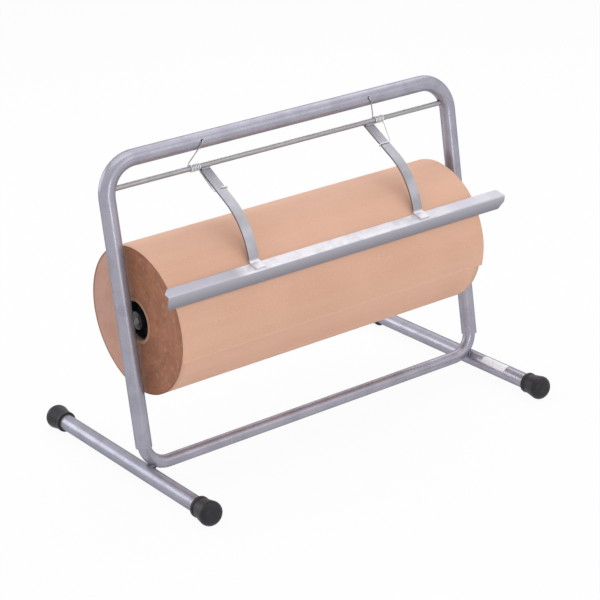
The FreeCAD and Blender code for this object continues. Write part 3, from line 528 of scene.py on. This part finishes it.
def rubber_colour(tree):
    """Moulded rubber: charcoal with a greyer bloom and light scuffs."""
    bloom = use(tree, PATCHES, Size=14.0, Low=0.35, High=0.75)["Mask"]
    scuffs = ramp(tree, use(tree, GRAIN, Size=0.8, Detail=4.0)["Height"], 0.62, 0.78, 0, 0.5)
    body = blend_colours(tree, bloom, (0.012, 0.010, 0.014), (0.022, 0.019, 0.025))
    return blend_colours(tree, scuffs, body, (0.055, 0.050, 0.060))


def rubber_skin(tree):
    return use(tree, GRAIN, Size=0.5, Detail=3.0)["Height"]


def weld_colour(tree):
    """Enamel over a rough weld: grey with dark hollows, partly burnt weld and partly painted shade of the
    joint.
    """
    hollows = use(tree, GRAIN, Size=3.0, Detail=3.0)["Height"]
    # Partly painted shade: the dark hollows stand for the crevice's shade as well as burnt weld.
    return blend_colours(tree, ramp(tree, hollows, 0.42, 0.6), (0.045, 0.040, 0.045), (0.27, 0.26, 0.31))


def weld_ripples(tree):
    return use(tree, GRAIN, Size=2.2, Detail=2.0)["Height"]


def plastic_colour(tree):
    """Black plastic with some dust."""
    dust = use(tree, PATCHES, Size=9.0, Low=0.45, High=0.8)["Mask"]
    return blend_colours(tree, dust, (0.012, 0.012, 0.017), (0.030, 0.030, 0.038))


def label_colour(tree):
    """White paper, a little grey in places."""
    age = use(tree, PATCHES, Size=10.0, Low=0.4, High=0.8)["Mask"]
    return blend_colours(tree, age, (0.93, 0.93, 0.94), (0.86, 0.86, 0.87))


stand_silver = stand_enamel((0.40, 0.39, 0.45), (0.35, 0.34, 0.40))
cutter_silver = arm_enamel((0.44, 0.43, 0.465), (0.37, 0.36, 0.39))
# The bar's second colour is the painted shade at the tearing edge.
bar_silver = bar_enamel((0.455, 0.445, 0.50), (0.27, 0.26, 0.29))
rod_metal = drawn_steel("rod_metal", (0.43, 0.425, 0.44), (0.32, 0.315, 0.33), 0.36)
spring_metal = new_finish("spring_metal", spring_colour, 0.42, [(drawn_lines, 0.2, 0.03)], Metallic=0.6)
axle_metal = drawn_steel("axle_metal", (0.50, 0.50, 0.50), (0.33, 0.33, 0.33), 0.35)
kraft = new_finish("kraft", kraft_colour, 0.62, [(kraft_fibres, 0.25, 0.06), (kraft_waves, 0.3, 0.8),
                                                (kraft_crinkles, 0.3, 0.35)], Specular_IOR_Level=0.5)
torn_edge = new_finish("torn_edge", torn_fibres_and_highlight, 0.8, [(kraft_fibres, 0.3, 0.06)])
cut_turns = new_finish("cut_turns", cut_colour, 0.6, [(cut_rings, 0.5, 0.25)], Specular_IOR_Level=0.4)
card = new_finish("card", card_colour, 0.9, [(cut_rings, 0.3, 0.1)], Specular_IOR_Level=0.2)
cap_rubber = new_finish("cap_rubber", rubber_colour, 0.5, [(rubber_skin, 0.25, 0.08)],
                        Specular_IOR_Level=0.35)
weld_metal = new_finish("weld_metal", weld_colour, 0.6, [(weld_ripples, 0.8, 0.6)], Metallic=0.3)
hub_plastic = new_finish("hub_plastic", plastic_colour, 0.42, [(rubber_skin, 0.15, 0.05)])
blank_label = new_finish("blank_label", label_colour, 0.45, [(kraft_fibres, 0.1, 0.02)])

FINISHES = {
    stand_silver: ["upper_hoop", "lower_hoop", "left_foot_tube", "right_foot_tube"],
    weld_metal: ["left_foot_weld", "right_foot_weld"],
    bar_silver: ["cutter_bar"],
    cutter_silver: ["left_arm", "right_arm", "left_arm_weld", "right_arm_weld"],
    rod_metal: ["pivot_rod"],
    axle_metal: ["roll_axle"],
    card: ["core_tube"],
    hub_plastic: ["left_core_hub", "right_core_hub"],
    cap_rubber: ["left_front_cap", "left_rear_cap", "right_front_cap", "right_rear_cap"],
}
for finish, names in FINISHES.items():
    for name in names:
        cad[name].material_slots[0].material = finish


def grid_mesh(name, points, round_rows=False, round_columns=False):
    """A mesh over a grid of points: each cell is one face, and a grid that is round joins last to first."""
    rows, columns = points.shape[:2]
    index = np.arange(rows * columns).reshape(rows, columns)
    below = np.roll(index, -1, axis=0) if round_rows else index[1:]
    index = index if round_rows else index[:-1]
    below_next = np.roll(below, -1, axis=1)
    index_next = np.roll(index, -1, axis=1)
    last = columns if round_columns else columns - 1
    cells = np.stack([index, index_next, below_next, below], axis=-1)[:, :last].reshape(-1, 4)
    mesh = bpy.data.meshes.new(name)
    mesh.from_pydata(points.reshape(-1, 3), [], cells)
    mesh.validate()
    mesh.shade_smooth()
    piece = bpy.data.objects.new(name, mesh)
    bpy.context.scene.collection.objects.link(piece)
    return piece


def thicken(piece, thickness):
    """Gives a sheet its thickness, outwards."""
    thick = piece.modifiers.new("thickness", "SOLIDIFY")
    thick.thickness = thickness
    thick.offset = 1


def about_roll(across, radius, angle):
    """Points from their place across, distance from the roll's axis and angle; angle 0 is level at the front
    and grows upwards."""
    across, radius, angle = np.broadcast_arrays(across, radius, angle)
    return np.stack([across, ROLL_Y - radius * np.cos(angle), ROLL_Z + radius * np.sin(angle)], axis=-1)


def smooth_noise(rng, count, passes):
    """Random numbers in a row, averaged with their neighbours a number of times, from 0 to 1."""
    values = rng.random(count)
    for _ in range(passes):
        values = (values + np.roll(values, 1) + np.roll(values, -1)) / 3
    return (values - values.min()) / (values.max() - values.min())


def left_skew(radius, angle):
    """How far the left end stands out, because the paper was wound with a drift: more towards the rim, out at
    the back and in at the front. With t from 0 at the core to 1 at the rim, it is t (-0.8 - 4.8 cos angle)
    millimetres, so that the rim still turns free of the leg."""
    t = (radius - CORE_RADIUS) / (ROLL_RADIUS - CORE_RADIUS)
    return t * (-0.8 - 4.8 * np.cos(angle)) * MM


def make_wound_paper():
    """The wound paper: a profile from the bore over the left end, along the outside and back over the right
    end, turned about the axis. An end stands back by a step for each group of turns, up to 0.5 mm, plus a slow
    wave round the roll that fades out at the rim: wave = 0.25 (1 + sin(2 angle + 9 r / R)) millimetres. The
    left end is skewed too, and the outside's cross sections follow it. The outside has dents of up to
    0.24 mm."""
    rng = np.random.default_rng(7)
    ring_count = 110
    spoke_count = 180
    section_count = 40
    plain_rim = 3 * MM
    radii = np.linspace(CORE_RADIUS, ROLL_RADIUS, ring_count)[:, None]
    angle = np.linspace(0, 2 * np.pi, spoke_count, endpoint=False)[None, :]
    wave = 0.25 * (1 + np.sin(2 * angle + 9 * radii / ROLL_RADIUS))
    ends = []
    for _ in ("left", "right"):
        steps = 0.35 * smooth_noise(rng, ring_count, 6) + 0.15 * rng.random(ring_count)
        steps[-2:] = 0
        inside_rim = np.clip((ROLL_RADIUS - radii) / plain_rim, 0, 1)
        ends.append((steps[:, None] + wave * inside_rim) * MM)
    skew = left_skew(radii, angle)
    left = about_roll(roll_low.x + ends[0] - skew, radii, angle)
    right = about_roll(roll_high.x - ends[1], radii, angle)[::-1]

    across = np.linspace(roll_low.x, roll_high.x, section_count + 2)[1:-1, None]
    dents = 0.12 * MM * (1 + np.sin(3 * angle + 14 * across))
    share = (roll_high.x - across) / (roll_high.x - roll_low.x)
    outside = about_roll(across - share * skew[-1], ROLL_RADIUS - dents, angle)
    points = np.concatenate([left, outside, right])
    paper = grid_mesh("wound_paper", points, round_rows=True, round_columns=True)
    paper.data.materials.append(kraft)
    paper.data.materials.append(cut_turns)
    row = np.repeat(np.arange(len(points)), spoke_count)
    is_left_end = row < ring_count - 1
    is_right_end = (row >= ring_count + section_count) & (row < len(points) - 1)
    paper.data.polygons.foreach_set("material_index", (is_left_end | is_right_end).astype(np.int32))
    return paper


def make_loose_sheet():
    """The last turn, from its free edge: radius = the sheet's place + lift + flutter + hang.

    The free edge is torn, so it wanders by about 1 mm round the roll, and its first millimetre is painted
    pale, partly torn fibres and partly a painted highlight. It lifts by (1 - t)^2 times 0.9 mm over the first
    6 degrees, more in some places. The overhang at the right end flutters by up to 0.45 mm, and the rest
    hangs off the roll by up to 0.12 mm. Columns are closer together at the free edge."""
    rng = np.random.default_rng(11)
    row_count = 240
    column_count = 150
    torn_width = 1.0 * MM
    right_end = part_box("outer_sheet")[1].x
    across = np.linspace(roll_low.x, right_end, row_count)[:, None]
    turn = SHEET_WRAP * np.linspace(0, 1, column_count)[None, :] ** 1.7
    past_start = np.clip(turn / 0.3, 0, 1)

    frays = 0.8 * MM * (smooth_noise(rng, row_count, 1)[:, None] - 0.5)
    bites = 0.9 * MM * (smooth_noise(rng, row_count, 12)[:, None] - 0.5)
    edge_wave = 0.8 * MM * np.sin(9 * across + 1.0) + 0.4 * MM * np.sin(31 * across) + (frays + bites)
    angle = SHEET_EDGE + turn + edge_wave / SHEET_RADIUS * np.clip(1 - turn / 0.3, 0, 1)

    near_edge = np.clip(1 - turn / math.radians(6), 0, 1) ** 2
    lift = (0.9 + 0.5 * np.sin(16 * across) + 0.3 * np.sin(41 * across + 2)) * MM * near_edge
    past_end = np.clip((across - roll_high.x + 4 * MM) / (9 * MM), 0, 1) ** 2
    flutter = past_end * 0.3 * MM * (np.sin(7 * turn) + 0.5 * np.sin(17 * turn + 1)) * past_start
    hang = 0.12 * MM * np.sin(5 * across + 2 * turn) ** 2
    radius = SHEET_RADIUS + lift + flutter + hang * np.clip(turn, 0, 1)

    share = (right_end - across) / (right_end - roll_low.x)
    points = about_roll(across - share * left_skew(ROLL_RADIUS, angle), radius, angle)
    sheet = grid_mesh("loose_sheet", points)
    thicken(sheet, SHEET_THICKNESS)
    sheet.data.materials.append(kraft)
    sheet.data.materials.append(torn_edge)
    is_torn = np.broadcast_to(turn[:, :-1] * SHEET_RADIUS < torn_width, (row_count - 1, column_count - 1))
    sheet.data.polygons.foreach_set("material_index", is_torn.astype(np.int32).ravel())
    return sheet


def make_label():
    """A blank label on the right foot: a patch of the tube's surface, just off it."""
    low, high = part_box("right_foot_tube")
    centre_x = (low.x + high.x) / 2
    centre_z = (low.z + high.z) / 2
    radius = (high.x - low.x) / 2 + LABEL_GAP
    row_count = 24
    column_count = 16
    along = np.linspace(LABEL_FRONT, LABEL_BACK, row_count)[:, None]
    angle = np.radians(np.linspace(*LABEL_TURN, column_count))[None, :]
    along, angle = np.broadcast_arrays(along, angle)
    points = np.stack([centre_x + radius * np.cos(angle), along, centre_z + radius * np.sin(angle)], axis=-1)
    label = grid_mesh("blank_label", points)
    thicken(label, LABEL_THICKNESS)
    label.data.materials.append(blank_label)
    return label


def make_bending_spring(name):
    """A copy of a wire spring, with its doubled points merged and the spring finish, in place of the CAD
    spring."""
    mesh = cad[name].data.copy()
    joined = bmesh.new()
    joined.from_mesh(mesh)
    bmesh.ops.remove_doubles(joined, verts=joined.verts, dist=0.001 * MM)
    joined.to_mesh(mesh)
    joined.free()
    spring = bpy.data.objects.new(name + "_wire", mesh)
    bpy.context.scene.collection.objects.link(spring)
    mesh.materials.clear()
    mesh.materials.append(spring_metal)
    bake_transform(spring)
    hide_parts(name)
    return spring


paper = make_wound_paper()
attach(paper, "roll")
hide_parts("paper_roll")
sheet = make_loose_sheet()
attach(sheet, "roll")
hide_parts("outer_sheet")
label = make_label()
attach(label, "frame")

make_bending_spring("left_spring")
make_bending_spring("right_spring")


def seen_directly(tree):
    """1 where the camera, a reflection or a pane of glass sees a surface, and 0 where light reaches it."""
    ray = add(tree, "LightPath").outputs
    opaque = calculate(tree, "MAXIMUM", ray["Is Camera Ray"], ray["Is Glossy Ray"])
    return calculate(tree, "MAXIMUM", opaque, ray["Is Transmission Ray"])


def mix_seen(tree, share, lighting, seen, output):
    """Ends a material or a world: one shader that lights the object and another that is seen directly."""
    mixed = add(tree, "MixShader", {0: share, 1: lighting, 2: seen}).outputs[0]
    add(tree, output, {"Surface": mixed})


def empty_tree(owner):
    """The node tree of a world or a material, cleared."""
    owner.use_nodes = True
    owner.node_tree.nodes.clear()
    return owner.node_tree


world = bpy.data.worlds.new("studio")
bpy.context.scene.world = world
tree = empty_tree(world)
room = add(tree, "Background", {"Color": (0.93, 0.95, 1.0, 1), "Strength": 0.58}).outputs[0]
white = add(tree, "Background", {"Color": (1, 1, 1, 1), "Strength": 1.0}).outputs[0]
mix_seen(tree, seen_directly(tree), room, white, "OutputWorld")

# The floor keeps the object's shadow: where it is seen, a small share of it is still lit by the lamps.
FLOOR_HALF = 6.0
FLOOR_HEIGHT = -0.3 * MM
FLOOR_GLOW_SHARE = 0.94
sides = (-FLOOR_HALF, FLOOR_HALF)
floor = grid_mesh("floor", np.array([[[x, y, FLOOR_HEIGHT] for x in sides] for y in sides]))
floor_paint = bpy.data.materials.new("floor_paint")
tree = empty_tree(floor_paint)
lit = add(tree, "BsdfDiffuse", {"Color": (0.9, 0.9, 0.9, 1)}).outputs[0]
glow = add(tree, "Emission", {"Color": (1, 1, 1, 1), "Strength": 1.0}).outputs[0]
mix_seen(tree, calculate(tree, "MULTIPLY", seen_directly(tree), FLOOR_GLOW_SHARE), lit, glow, "OutputMaterial")
floor.data.materials.append(floor_paint)
